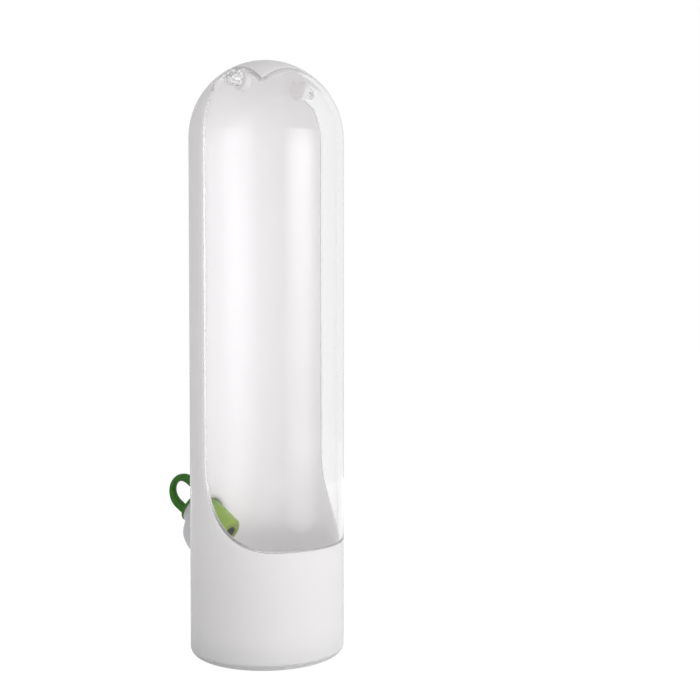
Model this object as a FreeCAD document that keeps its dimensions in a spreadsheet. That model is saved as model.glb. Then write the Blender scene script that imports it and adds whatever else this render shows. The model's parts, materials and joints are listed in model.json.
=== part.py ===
import FreeCAD, Part
import Sketcher
import os

# Herb keeper: a standing tube with a domed top. The white moulded body is a water cup that
# carries the back half of the tube and dome. A clear door closes the front half and swings
# up on two pins near the top of the dome. A silicone plug closes a filler neck low on the
# back. Millimetres, +Z up, +Y to the back, origin under the middle of the foot.

DIMENSIONS = [
    # alias, value, what it is
    ("outer_radius", 34.0, "outside of the tube, the dome and the closed door"),
    ("total_height", 260.0, "foot to the top of the dome"),
    ("wall", 2.2, "wall of the white body"),
    ("door_wall", 1.9, "wall of the clear door"),
    ("split_gap", 0.35, "seam between the door's edge and the body's edge"),
    ("rim_height", 49.8, "front rim of the water cup above the foot"),
    ("corner_front", 4.0, "level rim in front of the opening's rounded lower corners"),
    ("corner_rise", 38.0, "height of the opening's rounded lower corner"),
    ("foot_fillet", 3.5, "rounding of the bottom edge"),
    ("floor_edge", 2.2, "height of the seam between floor and body"),
    ("seam_groove", 0.2, "height of the shadow groove in that seam"),
    ("seam_depth", 0.6, "depth of the shadow groove"),
    ("floor_recess", 0.9, "hollow of the underside inside the foot ring"),
    ("foot_ring", 3.5, "width of the foot ring"),
    ("floor_plate", 2.4, "thickness of the floor inside its ring wall"),
    ("spigot_height", 8.0, "ring wall of the floor above the seam"),
    ("spigot_wall", 3.0, "thickness of the ring wall"),
    ("spigot_gap", 0.15, "clearance of the ring wall in the body"),
    ("seal_section", 1.8, "free thickness of the seal ring"),
    ("seal_squeeze", 0.05, "how much the seal ring is squeezed"),
    ("groove_play", 0.3, "room above and below the seal ring in its groove"),
    ("hinge_forward", 4.0, "hinge axis in front of the tube's axis"),
    ("hinge_depth", 10.5, "hinge axis below the top of the dome"),
    ("tongue_half", 17.5, "half width of the tongue over the top"),
    ("tongue_reach", 15.5, "front end of the tongue from the hinge axis"),
    ("side_gap", 0.4, "clearance between tongue and door, beside and in front"),
    ("ear_radius", 7.1, "door's ear around the hinge axis"),
    ("lug_radius", 5.0, "lug under the tongue that holds a pin"),
    ("lug_width", 2.6, "thickness of the lug"),
    ("boss_radius", 3.4, "boss in the door's ear around the pin"),
    ("boss_depth", 5.2, "length of the boss along the pin"),
    ("pin_radius", 1.5, "hinge pin"),
    ("pin_play", 0.05, "running clearance of the pin in the door"),
    ("pin_engagement", 4.1, "how far the pin reaches past the tongue's side"),
    ("pin_end_room", 0.3, "room past the pin's end in the blind bore"),
    ("pin_chamfer", 0.3, "chamfer at both ends of the pin"),
    ("port_turn", 15.0, "degrees of the filler port from the back towards the left"),
    ("port_tilt", 33.0, "degrees of the port's axis above level"),
    ("port_height", 57.0, "height where the port's axis leaves the wall"),
    ("mouth_reach", 6.8, "mouth of the neck from there, along the axis"),
    ("collar_radius", 9.2, "outside of the filler neck"),
    ("collar_depth", 10.5, "neck inside the wall's outer face, along the axis"),
    ("mouth_round", 0.8, "rounding of the neck's mouth"),
    ("bore_radius", 7.5, "bore of the filler neck"),
    ("belly_out", 13.1, "belly under the neck, past the wall"),
    ("belly_half", 11.0, "half width of the belly"),
    ("belly_rise", 15.5, "half height of the belly"),
    ("belly_drop", 5.7, "belly's middle below the port's axis at the wall"),
    ("plug_play", 0.08, "radial clearance of the plug in the bore"),
    ("plug_inside", 14.0, "plug's inner end from the wall, along the axis"),
    ("plug_hollow", 3.6, "radius of the hollow in the plug's inner end"),
    ("hollow_depth", 12.0, "depth of that hollow"),
    ("plug_round", 1.6, "rounding of the plug's inner end"),
    ("head_radius", 9.2, "plug's head on the mouth"),
    ("head_thickness", 1.4, "plug's head"),
    ("head_chamfer", 0.15, "chamfer around the plug's head"),
    ("loop_reach", 18.9, "top of the pull loop from the mouth"),
    ("loop_half", 8.75, "half the loop's outer height"),
    ("loop_width", 3.4, "width of the loop's strap"),
    ("strap_end", 2.8, "strap's thickness at the top of the loop"),
    ("strap_leg", 4.1, "strap's thickness at its legs"),
    ("loop_round", 1.2, "rounding of the strap's edges"),
]

doc = FreeCAD.newDocument("herb_keeper")
sheet = doc.addObject("Spreadsheet::Sheet", "dims")
for row, (alias, value, meaning) in enumerate(DIMENSIONS, start=1):
    sheet.set(f"A{row}", meaning)
    sheet.set(f"B{row}", str(value))
    sheet.setAlias(f"B{row}", alias)
doc.recompute()

# Sketcher's numbers for the origin and for the points of a line or an arc.
ROOT = -1
START, END, CENTRE = range(1, 4)
TINY = 1e-6

# Places that several pieces share, as expressions of the sheet's cells.
OUTER = "dims.outer_radius"
BODY_INNER = "(dims.outer_radius - dims.wall)"
DOOR_INNER = "(dims.outer_radius - dims.door_wall)"
DOME_Z = "(dims.total_height - dims.outer_radius)"
HINGE_Y = "(0 - dims.hinge_forward)"
HINGE_Z = "(dims.total_height - dims.hinge_depth)"
NOTCH_HALF = "(dims.tongue_half + dims.side_gap)"
CORNER_DEPTH = "(dims.outer_radius - dims.corner_front)"
REACH = "(dims.total_height)"


def size(expression):
    """Value of an expression of the sheet's cells."""
    return float(sheet.evalExpression(expression.replace("dims.", "")))


def bind(item, **expressions):
    """Tie properties of an object to the sheet."""
    for name, expression in expressions.items():
        item.setExpression(name.replace("__", "."), expression)
    return item


def cylinder_x(name, radius, x_low, x_high, y=HINGE_Y, z=HINGE_Z):
    """Cylinder along X between two places."""
    item = doc.addObject("Part::Cylinder", name)
    bind(item, Radius=radius, Height=f"({x_high}) - ({x_low})")
    item.Placement.Rotation = FreeCAD.Rotation(FreeCAD.Vector(0, 1, 0), 90)
    bind(item, Placement__Base__x=x_low, Placement__Base__y=y, Placement__Base__z=z)
    return item


def box(name, low, high):
    """Box between two corners, each three expressions."""
    item = doc.addObject("Part::Box", name)
    sizes = [f"({b}) - ({a})" for a, b in zip(low, high)]
    bind(item, Length=sizes[0], Width=sizes[1], Height=sizes[2])
    bind(item, Placement__Base__x=low[0], Placement__Base__y=low[1], Placement__Base__z=low[2])
    return item


def cut(name, base, tool):
    item = doc.addObject("Part::Cut", name)
    item.Base, item.Tool = base, tool
    return item


def fuse(name, *shapes):
    item = doc.addObject("Part::MultiFuse", name)
    item.Shapes = list(shapes)
    return item


def common(name, *shapes):
    item = doc.addObject("Part::MultiCommon", name)
    item.Shapes = list(shapes)
    return item


def origin_plane(body, role):
    return next(f for f in body.Origin.OriginFeatures if f.Role == role)


def profile(body, name, *outlines, role="XZ_Plane"):
    """Sketch in a body's plane that holds one or more closed outlines."""
    sketch = body.newObject("Sketcher::SketchObject", name)
    sketch.AttachmentSupport = [(origin_plane(body, role), "")]
    sketch.MapMode = "FlatFace"
    for corners in outlines:
        add_outline(sketch, corners)
    return sketch


def arc_about(centre, start, end):
    """Arc that runs from start to end about a centre, the short way or over the top."""
    outwards = (start + end) * 0.5 - centre
    if outwards.Length < TINY:
        outwards = FreeCAD.Vector(0, 1, 0)
    middle = centre + outwards.normalize() * (start - centre).Length
    return Part.Arc(start, middle, end)


def tie_point(sketch, kind, geometry, point, expression):
    """Hold one coordinate of a sketch point at an expression of the sheet."""
    number = sketch.addConstraint(
        Sketcher.Constraint(kind, ROOT, START, geometry, point, size(expression)))
    sketch.setExpression(f"Constraints[{number}]", expression)


def add_outline(sketch, corners):
    """Draw one closed outline and tie every corner to the sheet.

    A corner is (x, z), or (x, z, centre) where an arc about that centre runs from this corner
    to the next one. All are expressions of the sheet.
    """
    first = len(sketch.Geometry)
    spots = [FreeCAD.Vector(size(corner[0]), size(corner[1]), 0) for corner in corners]
    begins, ends = [], []
    for index, corner in enumerate(corners):
        start, end = spots[index], spots[(index + 1) % len(corners)]
        straight = len(corner) == 2
        turns_left = True
        if straight:
            sketch.addGeometry(Part.LineSegment(start, end), False)
        else:
            centre = FreeCAD.Vector(size(corner[2][0]), size(corner[2][1]), 0)
            arc = arc_about(centre, start, end)
            turns_left = arc.toShape().Curve.Axis.z > 0
            sketch.addGeometry(arc, False)
            chord = end - start
            across = abs(chord.x) > abs(chord.y)
            tie_point(sketch, "DistanceY" if across else "DistanceX", first + index, CENTRE,
                      corner[2][1] if across else corner[2][0])
        begins.append(START if turns_left else END)
        ends.append(END if turns_left else START)
    for index, corner in enumerate(corners):
        following = (index + 1) % len(corners)
        sketch.addConstraint(Sketcher.Constraint(
            "Coincident", first + index, ends[index], first + following, begins[following]))
        tie_point(sketch, "DistanceX", first + index, begins[index], corner[0])
        tie_point(sketch, "DistanceY", first + index, begins[index], corner[1])


def revolve(body, name, sketch, kind="PartDesign::Revolution"):
    item = body.newObject(kind, name)
    item.Profile = sketch
    item.ReferenceAxis = (sketch, ["V_Axis"])
    item.Angle = 360.0
    return item


def new_body(name):
    return doc.addObject("PartDesign::Body", name)


def domed_shell(name, outer, inner, foot):
    """Tube with a domed top, revolved: outer and inner radius, and its lower corners."""
    body = new_body(name)
    corners = foot + [
        (outer, DOME_Z, ("0", DOME_Z)),
        ("0", f"{DOME_Z} + {outer}"),
        ("0", f"{DOME_Z} + {inner}", ("0", DOME_Z)),
        (inner, DOME_Z),
    ]
    revolve(body, name + "_turn", profile(body, name + "_outline", corners))
    return body


def domed_core(name, radius, bottom):
    """Solid tube with a domed top."""
    body = new_body(name)
    corners = [
        ("0", bottom),
        (radius, bottom),
        (radius, DOME_Z, ("0", DOME_Z)),
        ("0", f"{DOME_Z} + {radius}"),
    ]
    revolve(body, name + "_turn", profile(body, name + "_outline", corners))
    return body


def opening(name, inset):
    """Everything in front of the split line, drawn in by inset on every side.

    Seen from the side the split runs down the middle, turns forward through a quarter of an
    ellipse and meets the cup's level rim.
    """
    low_x, high_x = f"0 - {REACH}", REACH
    corner_z = "dims.rim_height + dims.corner_rise"
    upper = box(name + "_upper", (low_x, low_x, corner_z), (high_x, f"0 - ({inset})", f"2 * {REACH}"))
    lower = box(name + "_lower", (low_x, low_x, f"dims.rim_height + ({inset})"),
                (high_x, f"0 - {CORNER_DEPTH}", corner_z))
    ellipse = doc.addObject("Part::Ellipse", name + "_corner")
    bind(ellipse, MajorRadius=f"dims.corner_rise - ({inset})",
         MinorRadius=f"{CORNER_DEPTH} - ({inset})")
    ellipse.Placement.Rotation = FreeCAD.Rotation(FreeCAD.Vector(0, 1, 0), -90)
    bind(ellipse, Placement__Base__y=f"0 - {CORNER_DEPTH}", Placement__Base__z=corner_z)
    corner = doc.addObject("Part::Extrusion", name + "_corner_block")
    corner.Base = ellipse
    corner.DirMode = "Custom"
    corner.Dir = FreeCAD.Vector(1, 0, 0)
    corner.Solid = True
    corner.Symmetric = True
    bind(corner, LengthFwd=f"2 * {REACH}")
    return fuse(name, upper, lower, corner)


def port_placement():
    """Frame of the filler port: Z out along its axis, origin where it leaves the wall."""
    turn = FreeCAD.Rotation(FreeCAD.Vector(0, 0, 1), 90 + size("dims.port_turn"))
    tilt = FreeCAD.Rotation(FreeCAD.Vector(0, 1, 0), 90 - size("dims.port_tilt"))
    out = turn.multVec(FreeCAD.Vector(size(OUTER), 0, 0))
    return FreeCAD.Placement(out + FreeCAD.Vector(0, 0, size("dims.port_height")), turn * tilt)


def port_cylinder(name, radius, low, high):
    """Cylinder along the port's axis."""
    item = doc.addObject("Part::Cylinder", name)
    bind(item, Radius=radius, Height=f"({high}) - ({low})")
    frame = port_placement()
    item.Placement = FreeCAD.Placement(frame.multVec(FreeCAD.Vector(0, 0, size(low))), frame.Rotation)
    return item


# ---- Body: cup, back half shell, dome, hinge tongue with its lugs ----

foot_arc_centre = (f"{OUTER} - dims.foot_fillet", "dims.foot_fillet")
foot_arc_x = (f"{OUTER} - dims.foot_fillet"
              " + sqrt(dims.foot_fillet ^ 2 - (dims.foot_fillet - dims.floor_edge) ^ 2)")
shell = domed_shell("shell", OUTER, BODY_INNER, [
    (BODY_INNER, "dims.floor_edge"),
    (foot_arc_x, "dims.floor_edge", foot_arc_centre),
    (OUTER, "dims.foot_fillet"),
])
open_shell = cut("open_shell", shell, opening("mouth_cut", "0"))

# The door's ears turn inside this relief, left and right of the tongue.
relief_radius = "dims.ear_radius + dims.side_gap"
relief_left = cylinder_x("relief_left", relief_radius, f"0 - {REACH}", "0 - dims.tongue_half")
relief_right = cylinder_x("relief_right", relief_radius, "dims.tongue_half", REACH)
relief = fuse("relief", relief_left, relief_right)
back = cut("back", open_shell, relief)

tongue_round = cylinder_x("tongue_round", "dims.tongue_reach",
                          "0 - dims.tongue_half", "dims.tongue_half")
tongue = common("tongue", shell, tongue_round)
lug_core = domed_core("lug_core", f"{OUTER} - dims.wall / 2", HINGE_Z + " - dims.lug_radius * 2")
lug_left = cylinder_x("lug_left", "dims.lug_radius", "0 - dims.tongue_half",
                      "dims.lug_width - dims.tongue_half")
lug_right = cylinder_x("lug_right", "dims.lug_radius", "dims.tongue_half - dims.lug_width",
                       "dims.tongue_half")
lugs = common("lugs", fuse("lug_pair", lug_left, lug_right), lug_core)
body_solid = fuse("body_solid", back, tongue, lugs)

pin_bore = cylinder_x("pin_bore", "dims.pin_radius",
                      "0 - dims.tongue_half * 1.5", "dims.tongue_half * 1.5")
port_hole = port_cylinder("port_hole", "dims.collar_radius",
                          "0 - dims.collar_depth", "dims.mouth_reach * 2")
body_shell = cut("body_shell", body_solid, fuse("body_holes", pin_bore, port_hole))

# ---- Floor, pushed in from below, with its foot ring and seal ----

spigot_radius = f"{BODY_INNER} - dims.spigot_gap"
spigot_top = "dims.floor_edge + dims.spigot_height"
groove_floor = f"{BODY_INNER} - dims.seal_section + dims.seal_squeeze"
seal_z = "dims.floor_edge + dims.spigot_height / 2"
groove_half = "(dims.seal_section / 2 + dims.groove_play)"
edge_low = "dims.floor_edge - dims.seam_groove"
edge_x = (f"{OUTER} - dims.foot_fillet + sqrt(dims.foot_fillet ^ 2"
          " - (dims.foot_fillet - dims.floor_edge + dims.seam_groove) ^ 2)")
foot_inner = f"{OUTER} - dims.foot_fillet - dims.foot_ring"
floor_top = "dims.floor_recess + dims.floor_plate"
base_floor = new_body("base_floor")
floor_corners = [
    ("0", "dims.floor_recess"),
    (f"{foot_inner} - dims.floor_recess", "dims.floor_recess"),
    (foot_inner, "0"),
    (f"{OUTER} - dims.foot_fillet", "0", foot_arc_centre),
    (edge_x, edge_low),
    (f"{edge_x} - dims.seam_depth", edge_low),
    (f"{edge_x} - dims.seam_depth", "dims.floor_edge"),
    (spigot_radius, "dims.floor_edge"),
    (spigot_radius, f"{seal_z} - {groove_half}"),
    (groove_floor, f"{seal_z} - {groove_half}"),
    (groove_floor, f"{seal_z} + {groove_half}"),
    (spigot_radius, f"{seal_z} + {groove_half}"),
    (spigot_radius, f"{spigot_top} - dims.spigot_gap * 4"),
    (f"{spigot_radius} - dims.spigot_gap * 4", spigot_top),
    (f"{spigot_radius} - dims.spigot_wall", spigot_top),
    (f"{spigot_radius} - dims.spigot_wall", floor_top),
    ("0", floor_top),
]
revolve(base_floor, "floor_turn", profile(base_floor, "floor_outline", floor_corners))

floor_seal = doc.addObject("Part::Torus", "floor_seal")
bind(floor_seal,
     Radius1=f"{BODY_INNER} - (dims.seal_section - dims.seal_squeeze) / 2",
     Radius2="(dims.seal_section - dims.seal_squeeze) / 2",
     Placement__Base__z=seal_z)

# ---- Door: clear front half with hinge ears beside the tongue ----

door_tube = domed_shell("door_tube", OUTER, DOOR_INNER, [
    (DOOR_INNER, "dims.rim_height"),
    (OUTER, "dims.rim_height"),
])
ear_round = cylinder_x("ear_round", "dims.ear_radius", f"0 - {REACH}", REACH)
door_area = fuse("door_area", opening("door_cut", "dims.split_gap"), ear_round)
door_front = common("door_front", door_tube, door_area)
tongue_room = cylinder_x("tongue_room", "dims.tongue_reach + dims.side_gap",
                         f"0 - {NOTCH_HALF}", NOTCH_HALF)
door_skin = cut("door_skin", door_front, tongue_room)
boss_core = domed_core("boss_core", f"{OUTER} - dims.door_wall / 2",
                       HINGE_Z + " - dims.boss_radius * 2")
boss_left = cylinder_x("boss_left", "dims.boss_radius",
                       f"0 - {NOTCH_HALF} - dims.boss_depth", f"0 - {NOTCH_HALF}")
boss_right = cylinder_x("boss_right", "dims.boss_radius",
                        NOTCH_HALF, f"{NOTCH_HALF} + dims.boss_depth")
bosses = common("bosses", fuse("boss_pair", boss_left, boss_right), boss_core)
bore_end = "(dims.tongue_half + dims.pin_engagement + dims.pin_end_room)"
door_bore = cylinder_x("door_bore", "dims.pin_radius + dims.pin_play",
                       f"0 - {bore_end}", bore_end)
door = cut("door", fuse("door_solid", door_skin, bosses), door_bore)

# ---- Hinge pins, pressed in the lugs ----


def hinge_pin(label, side):
    """Pin with chamfered ends; side is -1 on the left and 1 on the right."""
    body = new_body(label)
    length = "(dims.lug_width + dims.pin_engagement)"
    corners = [
        ("0", "0"),
        ("dims.pin_radius - dims.pin_chamfer", "0"),
        ("dims.pin_radius", "dims.pin_chamfer"),
        ("dims.pin_radius", f"{length} - dims.pin_chamfer"),
        ("dims.pin_radius - dims.pin_chamfer", length),
        ("0", length),
    ]
    revolve(body, label + "_turn", profile(body, label + "_outline", corners))
    body.Placement.Rotation = FreeCAD.Rotation(FreeCAD.Vector(0, 1, 0), 90 * side)
    bind(body, Placement__Base__x=f"{side} * (dims.tongue_half - dims.lug_width)",
         Placement__Base__y=HINGE_Y, Placement__Base__z=HINGE_Z)
    return body


hinge_pin_left = hinge_pin("hinge_pin_left", -1)
hinge_pin_right = hinge_pin("hinge_pin_right", 1)

# ---- Filler neck in the back wall, with the belly under its mouth ----

collar = new_body("collar")
collar_corners = [
    ("0", "0"),
    ("dims.collar_radius", "0"),
    ("dims.collar_radius", "dims.collar_depth + dims.mouth_reach - dims.mouth_round",
     ("dims.collar_radius - dims.mouth_round",
      "dims.collar_depth + dims.mouth_reach - dims.mouth_round")),
    ("dims.collar_radius - dims.mouth_round", "dims.collar_depth + dims.mouth_reach"),
    ("0", "dims.collar_depth + dims.mouth_reach"),
]
revolve(collar, "collar_turn", profile(collar, "collar_outline", collar_corners))
port = port_placement()
collar.Placement = FreeCAD.Placement(
    port.multVec(FreeCAD.Vector(0, 0, -size("dims.collar_depth"))), port.Rotation)

belly_ball = doc.addObject("Part::Ellipsoid", "belly_ball")
bind(belly_ball, Radius1="dims.belly_rise", Radius2="dims.belly_rise", Radius3="dims.belly_half")
port_turn = FreeCAD.Rotation(FreeCAD.Vector(0, 0, 1), 90 + size("dims.port_turn"))
belly_middle = size("dims.outer_radius + dims.belly_out - dims.belly_rise")
belly_z = size("dims.port_height - dims.belly_drop")
belly_ball.Placement = FreeCAD.Placement(
    port_turn.multVec(FreeCAD.Vector(belly_middle, 0, 0)) + FreeCAD.Vector(0, 0, belly_z), port_turn)
under_mouth = port_cylinder("under_mouth", OUTER, f"0 - 3 * {OUTER}",
                            "dims.mouth_reach - dims.mouth_round")
inner_core = domed_core("inner_core", BODY_INNER, "0")
outer_core = domed_core("outer_core", OUTER, "0")
belly = cut("belly", common("belly_low", belly_ball, under_mouth), outer_core)
neck = cut("neck", collar, inner_core)
filler_bore = port_cylinder("filler_bore", "dims.bore_radius",
                            "0 - 2 * dims.collar_depth", "dims.mouth_reach * 2")
fill_spout = cut("fill_spout", fuse("spout_solid", neck, belly), filler_bore)

# ---- Plug with its pull loop; its own frame runs out along the port's axis ----

fill_plug = new_body("fill_plug")
plug_radius = "(dims.bore_radius - dims.plug_play)"
mouth_z = "(dims.plug_inside + dims.mouth_reach)"
head_top = f"({mouth_z} + dims.head_thickness)"
plug_corners = [
    ("dims.plug_hollow", "0"),
    (f"{plug_radius} - dims.plug_round", "0",
     (f"{plug_radius} - dims.plug_round", "dims.plug_round")),
    (plug_radius, "dims.plug_round"),
    (plug_radius, mouth_z),
    ("dims.head_radius - dims.head_chamfer", mouth_z),
    ("dims.head_radius", f"{mouth_z} + dims.head_chamfer"),
    ("dims.head_radius", f"{head_top} - dims.head_chamfer"),
    ("dims.head_radius - dims.head_chamfer", head_top),
    ("0", head_top),
    ("0", "dims.hollow_depth"),
    ("dims.plug_hollow", "dims.hollow_depth"),
]
revolve(fill_plug, "plug_turn", profile(fill_plug, "plug_outline", plug_corners))

loop_top = f"({mouth_z} + dims.loop_reach)"
hole_half = "(dims.loop_half - dims.strap_leg)"
hole_shoulder = f"({loop_top} - dims.strap_end - {hole_half})"
loop_shoulder = f"({loop_top} - dims.loop_half)"
loop_outer = [
    ("0 - dims.loop_half", f"{head_top} - dims.head_thickness / 2"),
    ("dims.loop_half", f"{head_top} - dims.head_thickness / 2"),
    ("dims.loop_half", loop_shoulder, ("0", loop_shoulder)),
    ("0 - dims.loop_half", loop_shoulder),
]
loop_hole = [
    (f"0 - {hole_half}", f"{head_top} - dims.head_thickness / 4"),
    (hole_half, f"{head_top} - dims.head_thickness / 4"),
    (hole_half, hole_shoulder, ("0", hole_shoulder)),
    (f"0 - {hole_half}", hole_shoulder),
]
loop_pad = fill_plug.newObject("PartDesign::Pad", "loop_pad")
loop_pad.Profile = profile(fill_plug, "loop_outline", loop_outer, loop_hole)
loop_pad.SideType = "Symmetric"
bind(loop_pad, Length="dims.loop_width")
doc.recompute()


def strap_edges(shape):
    """Names of the edges of the strap's two flat sides, above the head."""
    half_width, seat = size("dims.loop_width / 2"), size(head_top)
    names = []
    for number, edge in enumerate(shape.Edges, start=1):
        on_side = any(
            all(abs(v.Y - side * half_width) < TINY for v in edge.Vertexes) for side in (-1, 1))
        at_seat = all(v.Z < seat + TINY for v in edge.Vertexes)
        if on_side and not at_seat:
            names.append(f"Edge{number}")
    return names


loop_fillet = fill_plug.newObject("PartDesign::Fillet", "loop_fillet")
loop_fillet.Base = (loop_pad, strap_edges(loop_pad.Shape))
bind(loop_fillet, Radius="dims.loop_round")
fill_plug.Placement = FreeCAD.Placement(
    port.multVec(FreeCAD.Vector(0, 0, -size("dims.plug_inside"))), port.Rotation)

doc.recompute()

# ---- Check and write ----

NODES = [body_shell, base_floor, floor_seal, door, hinge_pin_left, hinge_pin_right,
         fill_spout, fill_plug]

for item in doc.Objects:
    bad = [state for state in item.State if state in ("Invalid", "Error")]
    if bad:
        raise RuntimeError(f"{item.Name} failed: {bad}")

os.makedirs("parts", exist_ok=True)
for node in NODES:
    shape = node.Shape
    if shape.isNull() or not shape.isValid():
        raise RuntimeError(f"{node.Label} has no valid shape")
    print(f"{node.Label}: {len(shape.Solids)} solid, {shape.Volume:.1f} mm3, {shape.BoundBox}")
    shape.exportStep(f"parts/{node.Label}.step")
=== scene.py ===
import json
from math import acos, asin, atan2, cos, pi, radians, sin, sqrt

import bmesh
import bpy
import numpy as np
from mathutils import Euler, Matrix, Vector
from mathutils.geometry import delaunay_2d_cdt


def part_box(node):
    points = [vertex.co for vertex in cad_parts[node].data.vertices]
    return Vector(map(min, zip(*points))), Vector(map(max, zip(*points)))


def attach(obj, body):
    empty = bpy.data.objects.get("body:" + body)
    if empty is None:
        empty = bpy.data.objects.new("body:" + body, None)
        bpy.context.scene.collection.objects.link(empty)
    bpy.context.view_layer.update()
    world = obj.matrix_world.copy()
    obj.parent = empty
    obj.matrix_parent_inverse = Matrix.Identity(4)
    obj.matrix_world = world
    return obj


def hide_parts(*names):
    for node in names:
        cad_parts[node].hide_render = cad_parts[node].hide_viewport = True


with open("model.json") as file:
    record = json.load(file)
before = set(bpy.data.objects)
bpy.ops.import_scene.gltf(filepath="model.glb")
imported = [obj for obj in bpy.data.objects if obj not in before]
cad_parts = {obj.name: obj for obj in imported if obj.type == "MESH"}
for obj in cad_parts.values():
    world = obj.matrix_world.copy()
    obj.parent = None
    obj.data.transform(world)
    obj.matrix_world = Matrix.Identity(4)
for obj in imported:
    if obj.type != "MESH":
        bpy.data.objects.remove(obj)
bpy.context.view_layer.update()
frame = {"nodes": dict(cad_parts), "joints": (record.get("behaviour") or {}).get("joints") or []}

# Herb keeper: a white moulded tube with a water cup and a domed top, a clear door hinged near
# the top of the dome, and a green plug in a filler neck low on the back. Metres throughout.

MM = 0.001

# ---- Places and sizes ----

JOINTS = {joint["name"]: joint for joint in frame["joints"]}
OUTER = round(-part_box("door")[0].y, 4)
TOP = round(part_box("body_shell")[1].z, 4)
DOME_Z = TOP - OUTER
HINGE = Vector(JOINTS["door_flip"]["pos_m"])
PORT_AXIS = Vector(JOINTS["plug_pull"]["axis"])

# Walls, and the opening with the quarter-ellipse corners of its rim.
WALL = 2.2 * MM
DOOR_WALL = 1.9 * MM
GAP = 0.35 * MM
RIM = round(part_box("door")[0].z, 5) - GAP
CORNER_DEPTH = 30.0 * MM
CORNER_RISE = 38.0 * MM
EDGE_ROUND = 0.14 * MM

# Tongue, the lugs under it, and the door's bosses with their bores. OFF_FLUSH keeps the faces of
# joined forms out of one plane.
TONGUE_HALF = 17.5 * MM
LUG_RADIUS = 5.0 * MM
LUG_WIDTH = 2.6 * MM
LUG_SKIN = 0.06 * MM
LUG_ROUND = 0.3 * MM
BOSS_RADIUS = 3.4 * MM
BOSS_DEPTH = 5.2 * MM
SIDE_GAP = 0.4 * MM
PIN_BORE = 1.55 * MM
BORE_DEPTH = 4.4 * MM
BORE_LEAD = 1.0 * MM
BORE_ROUND = 0.1 * MM
OFF_FLUSH = 0.02 * MM

# The split line of each part: inset from the opening, radius of the ear's cut about the hinge,
# half width beside the tongue, and reach of the tongue's front from the hinge.
BODY_SPLIT = {"inset": 0.0, "ear": 7.5 * MM, "side": TONGUE_HALF, "reach": 15.5 * MM}
DOOR_SPLIT = {"inset": GAP, "ear": 7.1 * MM, "side": TONGUE_HALF + SIDE_GAP, "reach": 15.9 * MM}

# Foot, and the floor with its ring wall and the shadow groove of its seam.
FOOT_FILLET = 3.5 * MM
FOOT_WIDTH = 3.5 * MM
FLOOR_EDGE = 2.2 * MM
FLOOR_RECESS = 0.9 * MM
FLOOR_PLATE = 2.4 * MM
GROOVE_HEIGHT = 0.2 * MM
GROOVE_DEPTH = 0.6 * MM
RING_PLAY = 0.15 * MM
RING_WALL = 3.0 * MM
RING_RISE = 8.0 * MM
RECESS_ROUND = 0.5 * MM
FOOT_ROUND = 0.3 * MM
RING_ROUND_OUT = 0.5 * MM
RING_ROUND_IN = 0.4 * MM
RING_ROOT = 0.6 * MM

# Filler neck, with the belly under its mouth.
PORT_HEIGHT = 57.0 * MM
HOLE_PLAY = 0.5 * MM
COLLAR_RADIUS = 9.2 * MM
BORE_RADIUS = 7.5 * MM
MOUTH_REACH = 6.8 * MM
MOUTH_ROUND = 0.8 * MM
MOUTH_LIP = 0.4 * MM
MOUTH_BORE = 2.0 * MM
NECK_DEPTH = 30.0 * MM
NECK_FADE = 2.5 * MM
FLANGE_WIDTH = 1.2 * MM
FLANGE_SINK = 0.3 * MM
BELLY_OUT = 13.1 * MM
BELLY_HALF = 11.0 * MM
BELLY_RISE = 15.5 * MM
BELLY_DROP = 5.7 * MM
BELLY_BLEND = 1.6 * MM

# Plug, with its head and pull loop.
PLUG_PLAY = 0.08 * MM
PLUG_INSIDE = 14.0 * MM
PLUG_ROUND = 1.6 * MM
HOLLOW_RADIUS = 3.6 * MM
HOLLOW_DEPTH = 12.0 * MM
HOLLOW_ROUND = 1.2 * MM
HOLLOW_LIP = 0.7 * MM
HEAD_RADIUS = 9.2 * MM
HEAD_THICKNESS = 1.4 * MM
HEAD_ROUND = 0.3 * MM
LOOP_REACH = 18.9 * MM
LOOP_HALF = 8.75 * MM
LOOP_WIDTH = 3.4 * MM
STRAP_END = 2.8 * MM
STRAP_LEG = 4.1 * MM
STRAP_ROUND = 1.3 * MM

# Port frame: origin where its axis leaves the wall, Z out along the axis, X in the upright plane.
PORT_OUT = Vector((PORT_AXIS.x, PORT_AXIS.y, 0)).normalized()
PORT_ORIGIN = PORT_OUT * OUTER + Vector((0, 0, PORT_HEIGHT))
PORT_SIDE = Vector((0, 0, 1)).cross(PORT_OUT)
PORT_UP = PORT_SIDE.cross(PORT_AXIS)
PORT_FRAME = Matrix((-PORT_UP, PORT_SIDE, PORT_AXIS)).transposed().to_4x4()
PORT_FRAME.translation = PORT_ORIGIN

# Fineness of the meshes.
SKIN_STEP = 1.6 * MM
TUBE_ROW = 4.0 * MM
EDGE_CLEAR = SKIN_STEP * 0.55
CURVE_STEPS = 400
ROUND_STEPS = 5
CUT_STEPS = 4
FILLET_STEPS = 8
FOOT_STEPS = 4
FOOT_TURNS = 134
FLOOR_TURNS = 160
PIN_TURNS = 64
BORE_TURNS = 40
HOLE_TURNS = 64
NECK_TURNS = 120
NECK_ROWS = 30
PLUG_TURNS = 96
PLUG_STEPS = 6
LEG_STEPS = 8
ARCH_STEPS = 48


# ---- Mesh tools ----

# Faces that meet at a smaller angle than this are shaded as one.
CREASE = radians(40)
# A face's corner is on a skin where it is this near the skin's radius, and where the face's normal
# and the way out from the axis have a product of at least this, with either sign.
ON_SKIN = 2e-6
FACES_OUT = 0.85
# A turned ring with a smaller radius than this is one point on the axis.
ON_AXIS = 1e-9
# A rounding takes at most this share of each side of its corner.
MOST_OF_SIDE = 0.48
# Points of the flat chart nearer than this are one, in millimetres.
SAME_SPOT = 1e-7
# Keeps a division off zero.
TINY = 1e-20
HALVINGS = 50


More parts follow.
